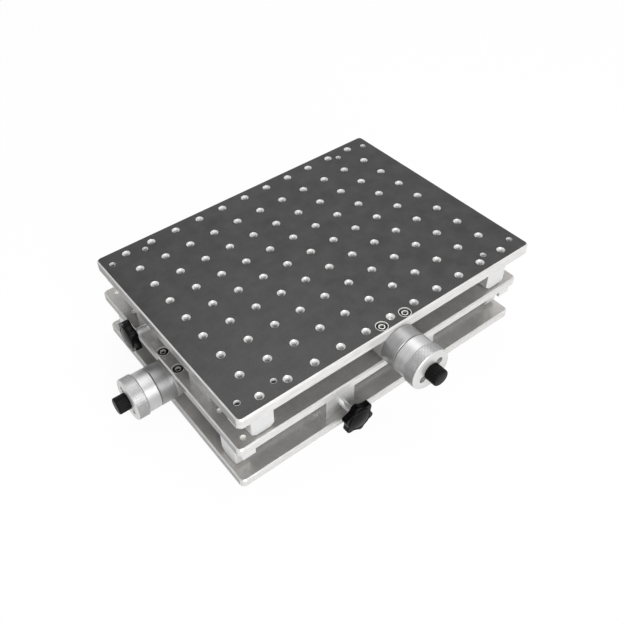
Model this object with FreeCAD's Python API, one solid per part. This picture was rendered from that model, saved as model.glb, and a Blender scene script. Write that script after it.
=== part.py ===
import FreeCAD, Part
import math
import os

# Cross slide table: three plates on two crossed pairs of round guide shafts.
# The saddle slides left and right on the base, the table slides front to back on the saddle.
# Each slide has a lead screw with a handwheel and a lock screw with a star knob.
# Frame: origin at the centre of the base plate's underside, X right, Y back, Z up, millimetres.

# Plates
plate_length = 300.0
plate_width = 220.0
base_thickness = 8.0
saddle_thickness = 8.0
table_thickness = 10.0
plate_corner_radius = 4.5
plate_top_chamfer = 1.2
plate_bottom_chamfer = 0.5
stage_gap = 32.0

# Rest position of the two slides, as in the photograph
saddle_rest = 1.0
table_rest = -5.5

# Grid of tapped holes in the work surface
grid_pitch = 25.0
grid_margin = 9.0
grid_tap_drill = 5.0
grid_sink_diameter = 7.2

# Lines of the guides on the plates
guide_inset = 25.0
x_support_inset = 10.0
y_support_inset = 15.0
x_block_line = 45.0
y_block_line = 42.5
x_end_clearance = 4.0
y_end_clearance = 1.5

# Guide shafts and their end supports
shaft_diameter = 8.0
shaft_height = 11.0
shaft_end_gap = 0.5
shaft_end_chamfer = 0.5
support_thickness = 12.0
support_flange_width = 44.0
support_flange_height = 9.5
support_head_width = 21.0
support_root_radius = 3.0
support_ground_gap = 1.0
support_corner_side = 4.0
support_corner_height = 3.0
support_bore_floor = 3.0
support_screw_spacing = 32.0
support_edge_chamfer = 0.6
support_head_stand = 0.5

# Bearing blocks on the lower plate
block_length = 30.0
block_width = 34.0
block_height = 22.0
block_chamfer = 0.8
block_screw_spacing_along = 18.0
block_screw_spacing_across = 24.0
bearing_diameter = 15.0
bearing_length = 24.0
bearing_lip_bore = 11.0
bearing_groove_width = 1.1
bearing_groove_depth = 0.5
bearing_groove_inset = 2.2

# Lead screw and its nut block
screw_drop = 11.0
screw_diameter = 12.0
screw_journal_diameter = 10.0
screw_stud_diameter = 8.0
screw_end_chamfer = 1.5
nut_length = 26.0
nut_width = 30.0
nut_height = 30.0
nut_overrun = 8.0
nut_top_width = 22.0
nut_shoulder_height = 12.0
nut_screw_spacing_along = 14.0
nut_screw_spacing_across = 22.0

# Handwheel housing, drum, knurled wheel and end knob
housing_diameter = 35.2
housing_nose = 14.0
housing_tail = 14.0
housing_bore = 14.0
housing_screw_inset = 6.6
housing_screw_spacing = 24.0
ball_bearing_outer = 22.0
ball_bearing_inner = 10.0
ball_bearing_width = 6.0
ball_bearing_ring = 1.8
shield_depth = 0.4
retainer_width = 2.0
retainer_bore = 16.5
retainer_slot = 2.0
drum_length = 11.6
drum_boss_diameter = 13.0
drum_gap = 0.4
wheel_diameter = 37.6
wheel_length = 10.9
wheel_chamfer = 0.6
wheel_screw_radius = 9.3
x_wheel_screw_angle = 40.0
y_wheel_screw_angle = 147.0
end_knob_diameter = 14.8
end_knob_length = 11.0
end_knob_chamfer = 0.8
end_knob_engagement = 8.0
turned_edge_chamfer = 0.4

# Slide locks
lock_stud_diameter = 6.0
lock_stud_drop = 1.0
lock_stud_engagement = 6.5
lock_stud_chamfer = 0.6
x_lock_stud_reach = 15.9
y_lock_stud_reach = 12.7
x_lock_stud_offset = 0.0
y_lock_stud_offset = -7.0
lock_pad_length = 5.0
lock_pad_gap = 0.4
star_knob_diameter = 30.2
star_knob_root_diameter = 24.0
star_knob_lobes = 6
star_knob_lobe_sharpness = 1.43
star_knob_points_per_lobe = 8
x_star_knob_angle = -22.0
y_star_knob_angle = 10.0
star_knob_thickness = 6.2
star_knob_hub_diameter = 12.0
star_knob_hub_length = 1.5
star_knob_boss_diameter = 23.4
star_knob_boss_top = 20.4
star_knob_boss_height = 1.2
star_knob_face_rise = 1.0

# Fasteners
thread_m5 = 5.0
thread_m4 = 4.0
thread_m3 = 3.0
cap_head_ratio = 1.7
cap_edge_ratio = 0.08
cap_socket_ratio = 0.8
cap_socket_depth_ratio = 0.6
counterbore_clearance = 0.6
cap_head_recess = 0.6
wheel_head_recess = 0.8
sunk_head_ratio = 2.0
grub_socket_ratio = 0.5
sunk_recess = 0.3
screw_hole_clearance = 0.1
screw_tip_room = 1.0
support_screw_bite = 7.0
housing_screw_bite = 12.0
block_screw_bite = 5.0
grub_length = 6.0
wheel_screw_length = 14.0

# Clearances
slide_clearance = 0.05
seat_clearance = 0.02
axial_gap = 0.2


class Stage:
    """One slide: its size along the travel (u), its guide lines across it (v) and its place."""

    def __init__(self, name, turn, length, width, origin, rest):
        self.name = name
        self.turn = turn
        self.half_length = length / 2
        self.guide_line = width / 2 - guide_inset
        self.origin = origin
        self.rest = rest

    def set_guides(self, support_inset, block_line, end_clearance, lower_thickness, upper_thickness):
        self.support_line = self.half_length - support_inset
        self.block_line = block_line
        self.lower_thickness = lower_thickness
        self.upper_thickness = upper_thickness
        room = self.support_line - support_thickness / 2 - block_line - block_length / 2
        self.travel = room - end_clearance

    def set_lock(self, along, across, stud_offset, stud_reach, knob_angle):
        self.lock_line = along * self.block_line
        self.lock_side = across
        self.stud_offset = stud_offset
        self.stud_reach = stud_reach
        self.knob_angle = knob_angle

    def set_wheel(self, screw_angle):
        self.wheel_screw_angle = screw_angle


saddle_level = base_thickness + stage_gap
table_level = saddle_level + saddle_thickness + stage_gap

x_stage = Stage("x", 0.0, plate_length, plate_width, FreeCAD.Vector(0, 0, base_thickness), saddle_rest)
x_stage.set_guides(x_support_inset, x_block_line, x_end_clearance, base_thickness, saddle_thickness)
x_stage.set_lock(-1, -1, x_lock_stud_offset, x_lock_stud_reach, x_star_knob_angle)
x_stage.set_wheel(x_wheel_screw_angle)

y_stage = Stage("y", 90.0, plate_width, plate_length,
                FreeCAD.Vector(saddle_rest, 0, saddle_level + saddle_thickness), table_rest)
y_stage.set_guides(y_support_inset, y_block_line, y_end_clearance, saddle_thickness, table_thickness)
y_stage.set_lock(1, 1, y_lock_stud_offset, y_lock_stud_reach, y_star_knob_angle)
y_stage.set_wheel(y_wheel_screw_angle)

UP = FreeCAD.Vector(0, 0, 1)
ALONG = FreeCAD.Vector(1, 0, 0)
ACROSS = FreeCAD.Vector(0, 1, 0)
screw_height = stage_gap - screw_drop


# Basic solids
def point(u, v, w):
    return FreeCAD.Vector(u, v, w)


def box(u, v, w, length, width, height):
    return Part.makeBox(length, width, height, point(u, v, w))


def rod(diameter, length, start, direction):
    return Part.makeCylinder(diameter / 2, length, start, direction)


def cone(small, large, length, start, direction):
    return Part.makeCone(small / 2, large / 2, length, start, direction)


def prism(points, direction):
    return Part.Face(Part.makePolygon(points + points[:1])).extrude(direction)


def hexagon(across_flats, depth, start, direction):
    wire_radius = across_flats / math.sqrt(3)
    corners = []
    for step in range(6):
        angle = math.radians(60 * step)
        corners.append(point(wire_radius * math.cos(angle), wire_radius * math.sin(angle), 0))
    solid = prism(corners, point(0, 0, depth))
    turn = FreeCAD.Rotation(UP, direction)
    solid.Placement = FreeCAD.Placement(start, turn)
    return solid


def chamfer_edges(shape, size, wanted):
    return shape.makeChamfer(size, [edge for edge in shape.Edges if wanted(edge)])


def export(shape, name):
    shape.exportStep("parts/" + name + ".step")


def group(shapes):
    return Part.makeCompound(shapes)


# Placing a stage's pieces: u runs along the travel away from the handwheel, w up from the lower plate
def place(shape, stage, shift=0.0):
    moved = shape.copy()
    moved.translate(point(shift, 0, 0))
    moved.rotate(point(0, 0, 0), UP, stage.turn)
    moved.translate(stage.origin)
    return moved


def on_lower(shape, stage, name):
    export(place(shape, stage), stage.name + "_" + name)


def on_upper(shape, stage, name):
    export(place(shape, stage, stage.rest), stage.name + "_" + name)


# Fasteners: the head's seat is at start, the shank runs along direction
def cap_screw(thread, length, start, direction):
    screw = plain_cap_screw(thread, length, start, direction)
    top = start - direction * thread
    return screw.cut(hexagon(thread * cap_socket_ratio, thread * cap_socket_depth_ratio, top, direction))


def plain_cap_screw(thread, length, start, direction):
    top = start - direction * thread
    head = rod(thread * cap_head_ratio, thread, top, direction)
    head = chamfer_edges(head, thread * cap_edge_ratio,
                         lambda e: abs((e.CenterOfMass - top).dot(direction)) < 1e-6)
    return head.fuse(rod(thread, length, start, direction))


def sunk_screw(thread, length, start, direction):
    head_height = thread * (sunk_head_ratio - 1) / 2
    head = cone(thread * sunk_head_ratio, thread, head_height, start, direction)
    return head.fuse(rod(thread, length, start, direction))


def grub_screw(thread, length, start, direction):
    body = rod(thread, length, start, direction)
    socket_size = thread * grub_socket_ratio
    return body.cut(hexagon(socket_size, socket_size, start, direction))


def screw_hole(thread, length, start, direction):
    return rod(thread + 2 * screw_hole_clearance, length, start, direction)


def counterbore(thread, depth, start, direction):
    return rod(thread * cap_head_ratio + 2 * counterbore_clearance, depth, start, direction)


def sunk_hole(thread, length, start, direction):
    wide = thread * sunk_head_ratio + 2 * screw_hole_clearance
    narrow = thread + 2 * screw_hole_clearance
    mouth = rod(wide, sunk_recess, start, direction)
    sink = cone(wide, narrow, (wide - narrow) / 2, start + direction * sunk_recess, direction)
    return mouth.fuse([sink, rod(narrow, length, start, direction)])


# Plates
def bare_plate(thickness):
    plate = box(-plate_length / 2, -plate_width / 2, 0, plate_length, plate_width, thickness)
    upright = [edge for edge in plate.Edges if abs(edge.tangentAt(edge.FirstParameter).z) > 0.99]
    plate = plate.makeFillet(plate_corner_radius, upright)
    plate = chamfer_edges(plate, plate_top_chamfer, lambda e: e.BoundBox.ZMin > thickness - 1e-6)
    return chamfer_edges(plate, plate_bottom_chamfer, lambda e: e.BoundBox.ZMax < 1e-6)


def grid_steps(size):
    return math.floor((size / 2 - grid_margin) / grid_pitch)


def tapped_grid_holes(thickness):
    sink_depth = (grid_sink_diameter - grid_tap_drill) / 2
    holes = []
    for column in range(-grid_steps(plate_length), grid_steps(plate_length) + 1):
        for row in range(-grid_steps(plate_width), grid_steps(plate_width) + 1):
            x = column * grid_pitch
            y = row * grid_pitch
            drill = rod(grid_tap_drill, thickness, point(x, y, 0), UP)
            sink_start = point(x, y, thickness - sink_depth)
            sink = cone(grid_tap_drill, grid_sink_diameter, sink_depth, sink_start, UP)
            holes.append(drill.fuse(sink))
    return holes


def turned(shapes, angle):
    for shape in shapes:
        shape.rotate(point(0, 0, 0), UP, angle)
    return shapes


def upper_plate_holes(stage, thickness):
    holes = []
    for x, y in support_screw_places(stage):
        holes.append(screw_hole(thread_m5, thickness, point(x, y, 0), UP))
    seat = thickness - thread_m5 - cap_head_recess
    for side in (-1, 1):
        foot = point(-stage.half_length + housing_screw_inset, side * housing_screw_spacing / 2, 0)
        holes.append(screw_hole(thread_m5, thickness, foot, UP))
        holes.append(counterbore(thread_m5, thickness - seat, foot + UP * seat, UP))
    return turned(holes, stage.turn)


def lower_plate_holes(stage, thickness):
    holes = []
    for x, y in block_screw_places(stage) + nut_screw_places():
        holes.append(sunk_hole(thread_m4, thickness, point(x, y, 0), UP))
    return turned(holes, stage.turn)


def base_plate():
    return bare_plate(base_thickness).cut(lower_plate_holes(x_stage, base_thickness))


def saddle_plate():
    holes = upper_plate_holes(x_stage, saddle_thickness) + lower_plate_holes(y_stage, saddle_thickness)
    plate = bare_plate(saddle_thickness).cut(holes)
    plate.translate(point(saddle_rest, 0, saddle_level))
    return plate


def table_plate():
    holes = upper_plate_holes(y_stage, table_thickness) + tapped_grid_holes(table_thickness)
    plate = bare_plate(table_thickness).cut(holes)
    plate.translate(point(saddle_rest, table_rest, table_level))
    return plate


# Places shared by screws and the holes that take them
def support_screw_places(stage):
    places = []
    for along in (-1, 1):
        for across in (-1, 1):
            for side in (-1, 1):
                v = across * stage.guide_line + side * support_screw_spacing / 2
                places.append((along * stage.support_line, v))
    return places


def block_places(stage):
    places = []
    for along in (-1, 1):
        for across in (-1, 1):
            places.append((along * stage.block_line, across * stage.guide_line))
    return places


def block_screw_places(stage):
    places = []
    for u, v in block_places(stage):
        for along in (-1, 1):
            for across in (-1, 1):
                places.append((u + along * block_screw_spacing_along / 2,
                               v + across * block_screw_spacing_across / 2))
    return places


def nut_screw_places():
    places = []
    for along in (-1, 1):
        for across in (-1, 1):
            places.append((along * nut_screw_spacing_along / 2, across * nut_screw_spacing_across / 2))
    return places


# Guide shafts and end supports
def support_profile(v):
    half_head = support_head_width / 2
    half_flange = support_flange_width / 2
    shoulder = stage_gap - support_flange_height
    foot = support_ground_gap
    outline = [
        point(0, v - half_head + support_corner_side, foot),
        point(0, v + half_head - support_corner_side, foot),
        point(0, v + half_head, foot + support_corner_height),
        point(0, v + half_head, shoulder),
        point(0, v + half_flange, shoulder),
        point(0, v + half_flange, stage_gap),
        point(0, v - half_flange, stage_gap),
        point(0, v - half_flange, shoulder),
        point(0, v - half_head, shoulder),
        point(0, v - half_head, foot + support_corner_height),
    ]
    return prism(outline, point(support_thickness, 0, 0))


def inner_corner(edge, v):
    middle = edge.CenterOfMass
    at_head = abs(abs(middle.y - v) - support_head_width / 2) < 1e-6
    return at_head and abs(middle.z - (stage_gap - support_flange_height)) < 1e-6


def shaft_support(stage, along, across):
    u = along * stage.support_line - support_thickness / 2
    v = across * stage.guide_line
    body = support_profile(v)
    body = body.makeFillet(support_root_radius, [e for e in body.Edges if inner_corner(e, v)])
    body.translate(point(u, 0, 0))
    outer = along * (stage.support_line + support_thickness / 2)
    body = chamfer_edges(body, support_edge_chamfer, lambda e: abs(e.BoundBox.XMin - outer) < 1e-6
                         and abs(e.BoundBox.XMax - outer) < 1e-6 and e.BoundBox.ZMax < stage_gap - 1e-6)
    bore_start = point(outer - along * support_bore_floor, v, shaft_height)
    seat_diameter = shaft_diameter + 2 * seat_clearance
    body = body.cut(rod(seat_diameter, support_thickness, bore_start, ALONG * -along))
    grub_start = point(along * stage.support_line, v, shaft_height)
    body = body.cut(screw_hole(thread_m4, support_flange_width, grub_start, ACROSS * across))
    seat = stage_gap - support_flange_height + thread_m5 - support_head_stand
    for side in (-1, 1):
        across_line = v + side * support_screw_spacing / 2
        screw_point = point(along * stage.support_line, across_line, shaft_height)
        body = body.cut(screw_hole(thread_m5, stage_gap, screw_point, UP))
        body = body.cut(counterbore(thread_m5, seat - shaft_height, screw_point, UP))
    return body


def support_screws(stage):
    seat = stage_gap - support_flange_height + thread_m5 - support_head_stand
    length = stage_gap - seat + support_screw_bite
    return group([plain_cap_screw(thread_m5, length, point(u, v, seat), UP)
                  for u, v in support_screw_places(stage)])


def support_grub_screws(stage):
    screws = []
    for along in (-1, 1):
        for across in (-1, 1):
            tip = across * (stage.guide_line + shaft_diameter / 2 + seat_clearance)
            start = point(along * stage.support_line, tip + across * grub_length, shaft_height)
            screws.append(grub_screw(thread_m4, grub_length, start, ACROSS * -across))
    return group(screws)


def guide_shaft(stage, across):
    reach = stage.support_line + support_thickness / 2 - support_bore_floor - shaft_end_gap
    shaft = rod(shaft_diameter, 2 * reach, point(-reach, across * stage.guide_line, shaft_height), ALONG)
    return chamfer_edges(shaft, shaft_end_chamfer, lambda e: isinstance(e.Curve, Part.Circle))


# Bearing blocks, lock block and linear bearings
def bare_block(u, v):
    block = box(u - block_length / 2, v - block_width / 2, 0, block_length, block_width, block_height)
    block = chamfer_edges(block, block_chamfer, lambda e: e.BoundBox.ZMax > block_height - 1e-6
                          or e.BoundBox.ZLength > block_height / 2)
    holes = []
    for along in (-1, 1):
        for across in (-1, 1):
            screw_point = point(u + along * block_screw_spacing_along / 2,
                                v + across * block_screw_spacing_across / 2, 0)
            holes.append(screw_hole(thread_m4, block_screw_bite + screw_tip_room, screw_point, UP))
    return block.cut(holes)


def bearing_block(u, v):
    start = u - block_length / 2
    lip = (block_length - bearing_length) / 2
    axis_point = point(start, v, shaft_height)
    bore = rod(bearing_diameter + 2 * seat_clearance, block_length - lip, axis_point, ALONG)
    lip_bore = rod(bearing_lip_bore, block_length, axis_point, ALONG)
    return bare_block(u, v).cut([bore, lip_bore])


def linear_bearing(u, v):
    lip = (block_length - bearing_length) / 2
    start = u - block_length / 2 + lip
    sleeve = rod(bearing_diameter, bearing_length, point(start, v, shaft_height), ALONG)
    groove_floor = bearing_diameter - 2 * bearing_groove_depth
    for inset in (bearing_groove_inset, bearing_length - bearing_groove_inset - bearing_groove_width):
        groove_point = point(start + inset, v, shaft_height)
        ring = rod(bearing_diameter + bearing_groove_depth, bearing_groove_width, groove_point, ALONG)
        sleeve = sleeve.cut(ring.cut(rod(groove_floor, bearing_groove_width, groove_point, ALONG)))
    bore = rod(shaft_diameter + 2 * slide_clearance, bearing_length, point(start, v, shaft_height), ALONG)
    return sleeve.cut(bore)


def lock_axis_point(stage, distance):
    u = stage.lock_line + stage.stud_offset
    v = stage.lock_side * (stage.guide_line + distance)
    return point(u, v, shaft_height - lock_stud_drop)


def lock_block(stage):
    v = stage.lock_side * stage.guide_line
    outward = ACROSS * stage.lock_side
    bore = rod(shaft_diameter + 2 * slide_clearance, block_length,
               point(stage.lock_line - block_length / 2, v, shaft_height), ALONG)
    stud_hole = rod(lock_stud_diameter + 2 * slide_clearance, block_width, lock_axis_point(stage, 0), outward)
    return bare_block(stage.lock_line, v).cut([bore, stud_hole])


def lower_screws(stage):
    head_point = sunk_recess - stage.lower_thickness
    length = block_screw_bite - head_point
    screws = []
    for u, v in block_screw_places(stage) + nut_screw_places():
        screws.append(sunk_screw(thread_m4, length, point(u, v, head_point), UP))
    return group(screws)


# Nut block and lead screw
def nut_block():
    block = box(-nut_length / 2, -nut_width / 2, 0, nut_length, nut_width, nut_height)
    half = nut_width / 2
    narrow = nut_top_width / 2
    for side in (-1, 1):
        corner = [point(-nut_length / 2, side * half, nut_shoulder_height),
                  point(-nut_length / 2, side * half, nut_height),
                  point(-nut_length / 2, side * narrow, nut_height)]
        block = block.cut(prism(corner, point(nut_length, 0, 0)))
    bore_start = point(-nut_length / 2, 0, screw_height)
    bore = rod(screw_diameter + 2 * slide_clearance, nut_length, bore_start, ALONG)
    depth = block_screw_bite + screw_tip_room
    holes = [screw_hole(thread_m4, depth, point(u, v, 0), UP) for u, v in nut_screw_places()]
    return block.cut([bore] + holes)


def outward_point(stage, distance):
    return point(-stage.half_length - distance, 0, screw_height)


def lead_screw(stage):
    out = ALONG * -1
    shoulder = -housing_nose + retainer_width + 2 * ball_bearing_width + axial_gap
    far_end = stage.travel + nut_length / 2 + nut_overrun
    thread_length = far_end - (-stage.half_length + shoulder)
    thread = rod(screw_diameter, thread_length, point(far_end, 0, screw_height), out)
    thread = chamfer_edges(thread, screw_end_chamfer, lambda e: e.BoundBox.XMin > far_end - 1e-6)
    journal_end = wheel_face_distance()
    journal = rod(screw_journal_diameter, journal_end + shoulder, outward_point(stage, -shoulder), out)
    stud = rod(screw_stud_diameter, end_knob_engagement, outward_point(stage, journal_end), out)
    return thread.fuse([journal, stud]).removeSplitter()


# Handwheel unit, from the plate's side face outwards
def drum_distance():
    return housing_nose + drum_gap


def wheel_distance():
    return drum_distance() + drum_length


def wheel_face_distance():
    return wheel_distance() + wheel_length


def screw_housing(stage):
    out = ALONG * -1
    nose = rod(housing_diameter, housing_nose, outward_point(stage, 0), out)
    nose_face = -stage.half_length - housing_nose
    nose = chamfer_edges(nose, turned_edge_chamfer, lambda e: e.BoundBox.XMax < nose_face + 1e-6)
    tail_start = outward_point(stage, -housing_tail)
    tail = rod(housing_diameter, housing_tail, tail_start, out)
    upper = box(-stage.half_length, -housing_diameter / 2, screw_height,
                housing_tail, housing_diameter, screw_drop)
    tail = tail.common(box(-stage.half_length, -housing_diameter, 0,
                           housing_tail, 2 * housing_diameter, stage_gap))
    body = nose.fuse([tail, upper]).removeSplitter()
    pocket = retainer_width + 2 * ball_bearing_width
    body = body.cut(rod(ball_bearing_outer + 2 * seat_clearance, pocket,
                        outward_point(stage, housing_nose - pocket), out))
    body = body.cut(rod(housing_bore, housing_tail + housing_nose, tail_start, out))
    for side in (-1, 1):
        across_line = side * housing_screw_spacing / 2
        foot = point(-stage.half_length + housing_screw_inset, across_line, stage_gap)
        body = body.cut(screw_hole(thread_m5, housing_screw_bite + screw_tip_room, foot, UP * -1))
    return body


def housing_screws(stage):
    seat = stage_gap + stage.upper_thickness - thread_m5 - cap_head_recess
    length = seat - stage_gap + housing_screw_bite
    screws = []
    for side in (-1, 1):
        start = point(-stage.half_length + housing_screw_inset, side * housing_screw_spacing / 2, seat)
        screws.append(cap_screw(thread_m5, length, start, UP * -1))
    return group(screws)


def ball_bearing(stage, distance):
    out = ALONG * -1
    start = outward_point(stage, distance)
    ring = rod(ball_bearing_outer, ball_bearing_width, start, out)
    ring = ring.cut(rod(ball_bearing_inner + 2 * seat_clearance, ball_bearing_width, start, out))
    shield_outer = ball_bearing_outer - 2 * ball_bearing_ring
    shield_inner = ball_bearing_inner + 2 * ball_bearing_ring
    for face in (0, ball_bearing_width - shield_depth):
        groove_start = outward_point(stage, distance + face)
        groove = rod(shield_outer, shield_depth, groove_start, out)
        groove = groove.cut(rod(shield_inner, shield_depth, groove_start, out))
        ring = ring.cut(groove)
    return ring


def ball_bearings(stage):
    first = housing_nose - retainer_width - ball_bearing_width
    return group([ball_bearing(stage, first), ball_bearing(stage, first - ball_bearing_width)])


def bearing_retainer(stage):
    out = ALONG * -1
    start = outward_point(stage, housing_nose - retainer_width)
    ring = rod(ball_bearing_outer, retainer_width, start, out)
    ring = ring.cut(rod(retainer_bore, retainer_width, start, out))
    slots = []
    for angle in (0, 90):
        slot = box(-stage.half_length - housing_nose, -ball_bearing_outer,
                   screw_height - retainer_slot / 2,
                   retainer_width / 2, 2 * ball_bearing_outer, retainer_slot)
        slot.rotate(point(0, 0, screw_height), ALONG, angle)
        slots.append(slot)
    return ring.cut(slots)


def wheel_screw_points(stage, distance):
    points = []
    for turn in (0, 180):
        angle = math.radians(stage.wheel_screw_angle + turn)
        points.append(outward_point(stage, distance) + point(
            0, wheel_screw_radius * math.cos(angle), wheel_screw_radius * math.sin(angle)))
    return points


def drum(stage):
    out = ALONG * -1
    body = rod(housing_diameter, drum_length, outward_point(stage, drum_distance()), out)
    body = chamfer_edges(body, turned_edge_chamfer, lambda e: isinstance(e.Curve, Part.Circle))
    boss_start = housing_nose - retainer_width + axial_gap
    boss = rod(drum_boss_diameter, drum_distance() - boss_start, outward_point(stage, boss_start), out)
    body = body.fuse(boss).removeSplitter()
    body = body.cut(rod(screw_journal_diameter + 2 * seat_clearance, wheel_distance(),
                        outward_point(stage, 0), out))
    depth = wheel_screw_length - wheel_length + thread_m3 + wheel_head_recess + screw_tip_room
    for screw_point in wheel_screw_points(stage, wheel_distance()):
        body = body.cut(screw_hole(thread_m3, depth, screw_point, ALONG))
    return body


def knurled_wheel(stage):
    out = ALONG * -1
    body = rod(wheel_diameter, wheel_length, outward_point(stage, wheel_distance()), out)
    body = chamfer_edges(body, wheel_chamfer, lambda e: isinstance(e.Curve, Part.Circle))
    body = body.cut(rod(screw_journal_diameter + 2 * seat_clearance, wheel_length,
                        outward_point(stage, wheel_distance()), out))
    for screw_point in wheel_screw_points(stage, wheel_face_distance()):
        body = body.cut(screw_hole(thread_m3, wheel_length, screw_point, ALONG))
        body = body.cut(counterbore(thread_m3, thread_m3 + wheel_head_recess, screw_point, ALONG))
    return body


def wheel_screws(stage):
    head_seat = wheel_face_distance() - thread_m3 - wheel_head_recess
    return group([cap_screw(thread_m3, wheel_screw_length, start, ALONG)
                  for start in wheel_screw_points(stage, head_seat)])


def end_knob(stage):
    out = ALONG * -1
    start = outward_point(stage, wheel_face_distance())
    body = rod(end_knob_diameter, end_knob_length, start, out)
    body = chamfer_edges(body, end_knob_chamfer, lambda e: isinstance(e.Curve, Part.Circle))
    hole = rod(screw_stud_diameter + 2 * seat_clearance, end_knob_engagement + axial_gap, start, out)
    return body.cut(hole)


# Slide lock: brass pad, stud and star knob
def lock_pad(stage):
    start = lock_axis_point(stage, shaft_diameter / 2 + lock_pad_gap)
    return rod(lock_stud_diameter, lock_pad_length, start, ACROSS * stage.lock_side)


def lock_stud(stage):
    first = shaft_diameter / 2 + lock_pad_gap + lock_pad_length
    last = block_width / 2 + stage.stud_reach + lock_stud_engagement
    stud = rod(lock_stud_diameter, last - first, lock_axis_point(stage, first), ACROSS * stage.lock_side)
    return chamfer_edges(stud, lock_stud_chamfer, lambda e: isinstance(e.Curve, Part.Circle))


def star_outline():
    root = star_knob_root_diameter / 2
    rise = (star_knob_diameter - star_knob_root_diameter) / 2
    count = star_knob_lobes * star_knob_points_per_lobe
    points = []
    for step in range(count):
        angle = 2 * math.pi * step / count
        share = (1 + math.cos(star_knob_lobes * angle)) / 2
        radius = root + rise * share ** star_knob_lobe_sharpness
        points.append(point(radius * math.cos(angle), radius * math.sin(angle), 0))
    curve = Part.BSplineCurve()
    curve.interpolate(points, PeriodicFlag=True)
    return Part.Wire([curve.toShape()])


def star_knob(stage):
    body = Part.Face(star_outline()).extrude(point(0, 0, star_knob_thickness))
    hub_start = point(0, 0, -star_knob_hub_length)
    hub = rod(star_knob_hub_diameter, star_knob_hub_length, hub_start, UP)
    boss = cone(star_knob_boss_diameter, star_knob_boss_top, star_knob_boss_height,
                point(0, 0, star_knob_thickness), UP)
    body = body.fuse([hub, boss]).fuse(face_dome())
    hole = rod(lock_stud_diameter + 2 * seat_clearance, lock_stud_engagement + axial_gap, hub_start, UP)
    body = body.cut(hole)
    facing = FreeCAD.Rotation(UP, ACROSS * stage.lock_side)
    phase = FreeCAD.Rotation(UP, stage.knob_angle)
    start = lock_axis_point(stage, block_width / 2 + stage.stud_reach + star_knob_hub_length)
    body.Placement = FreeCAD.Placement(start, facing.multiply(phase))
    return body


def face_dome():
    half = star_knob_boss_top / 2
    sphere_radius = (half ** 2 + star_knob_face_rise ** 2) / (2 * star_knob_face_rise)
    level = star_knob_thickness + star_knob_boss_height
    ball = Part.makeSphere(sphere_radius, point(0, 0, level + star_knob_face_rise - sphere_radius))
    return ball.common(rod(star_knob_boss_top, 2 * star_knob_face_rise,
                           point(0, 0, level - star_knob_face_rise), UP))


# One whole stage
def corner_name(stage, along, across):
    if stage.turn:
        return ("right" if across < 0 else "left") + "_" + ("front" if along < 0 else "rear")
    return ("front" if across < 0 else "rear") + "_" + ("left" if along < 0 else "right")


def side_name(stage, across):
    if stage.turn:
        return "right" if across < 0 else "left"
    return "front" if across < 0 else "rear"


def build_guides(stage):
    for across in (-1, 1):
        on_upper(guide_shaft(stage, across), stage, "shaft_" + side_name(stage, across))
        for along in (-1, 1):
            name = "shaft_support_" + corner_name(stage, along, across)
            on_upper(shaft_support(stage, along, across), stage, name)
    on_upper(support_screws(stage), stage, "support_screws")
    on_upper(support_grub_screws(stage), stage, "support_grub_screws")


def build_blocks(stage):
    bearings = []
    for along in (-1, 1):
        for across in (-1, 1):
            u = along * stage.block_line
            v = across * stage.guide_line
            if u == stage.lock_line and across == stage.lock_side:
                on_lower(lock_block(stage), stage, "lock_block")
                continue
            on_lower(bearing_block(u, v), stage, "bearing_block_" + corner_name(stage, along, across))
            bearings.append(linear_bearing(u, v))
    on_lower(group(bearings), stage, "linear_bearings")
    on_lower(nut_block(), stage, "nut_block")
    on_lower(lower_screws(stage), stage, "block_screws")


def build_drive(stage):
    on_upper(screw_housing(stage), stage, "screw_housing")
    on_upper(housing_screws(stage), stage, "housing_screws")
    on_upper(ball_bearings(stage), stage, "ball_bearings")
    on_upper(bearing_retainer(stage), stage, "bearing_retainer")
    on_upper(lead_screw(stage), stage, "lead_screw")
    on_upper(drum(stage), stage, "handwheel_drum")
    on_upper(knurled_wheel(stage), stage, "knurled_wheel")
    on_upper(wheel_screws(stage), stage, "wheel_screws")
    on_upper(end_knob(stage), stage, "end_knob")


def build_lock(stage):
    on_lower(lock_pad(stage), stage, "lock_pad")
    on_lower(lock_stud(stage), stage, "lock_stud")
    on_lower(star_knob(stage), stage, "lock_star_knob")


def main():
    os.makedirs("parts", exist_ok=True)
    export(base_plate(), "base_plate")
    export(saddle_plate(), "saddle_plate")
    export(table_plate(), "table_plate")
    for stage in (x_stage, y_stage):
        build_guides(stage)
        build_blocks(stage)
        build_drive(stage)
        build_lock(stage)


main()
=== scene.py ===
import math

import bmesh
import bpy
from mathutils import Euler, Matrix, Vector


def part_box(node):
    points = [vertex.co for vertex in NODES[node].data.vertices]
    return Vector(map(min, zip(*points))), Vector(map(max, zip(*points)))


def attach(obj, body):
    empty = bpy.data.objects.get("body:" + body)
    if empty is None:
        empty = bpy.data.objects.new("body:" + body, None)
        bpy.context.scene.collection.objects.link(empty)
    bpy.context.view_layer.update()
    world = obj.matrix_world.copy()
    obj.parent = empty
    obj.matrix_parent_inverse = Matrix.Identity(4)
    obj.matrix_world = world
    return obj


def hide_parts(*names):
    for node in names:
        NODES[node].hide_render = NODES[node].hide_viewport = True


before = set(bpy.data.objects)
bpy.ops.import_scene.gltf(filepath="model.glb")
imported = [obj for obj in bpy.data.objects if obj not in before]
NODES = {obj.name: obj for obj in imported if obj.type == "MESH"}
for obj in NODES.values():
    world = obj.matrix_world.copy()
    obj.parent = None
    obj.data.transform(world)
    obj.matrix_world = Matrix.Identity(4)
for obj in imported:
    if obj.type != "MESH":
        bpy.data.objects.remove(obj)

bl_info = {
    "name": "Cross slide table",
    "version": (1, 0, 0),
    "blender": (4, 5, 0),
    "location": "View3D > Sidebar > Slide table",
    "description": "Dresses a two-axis slide table with its finishes, threads and knobs",
    "category": "Object",
}

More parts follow.
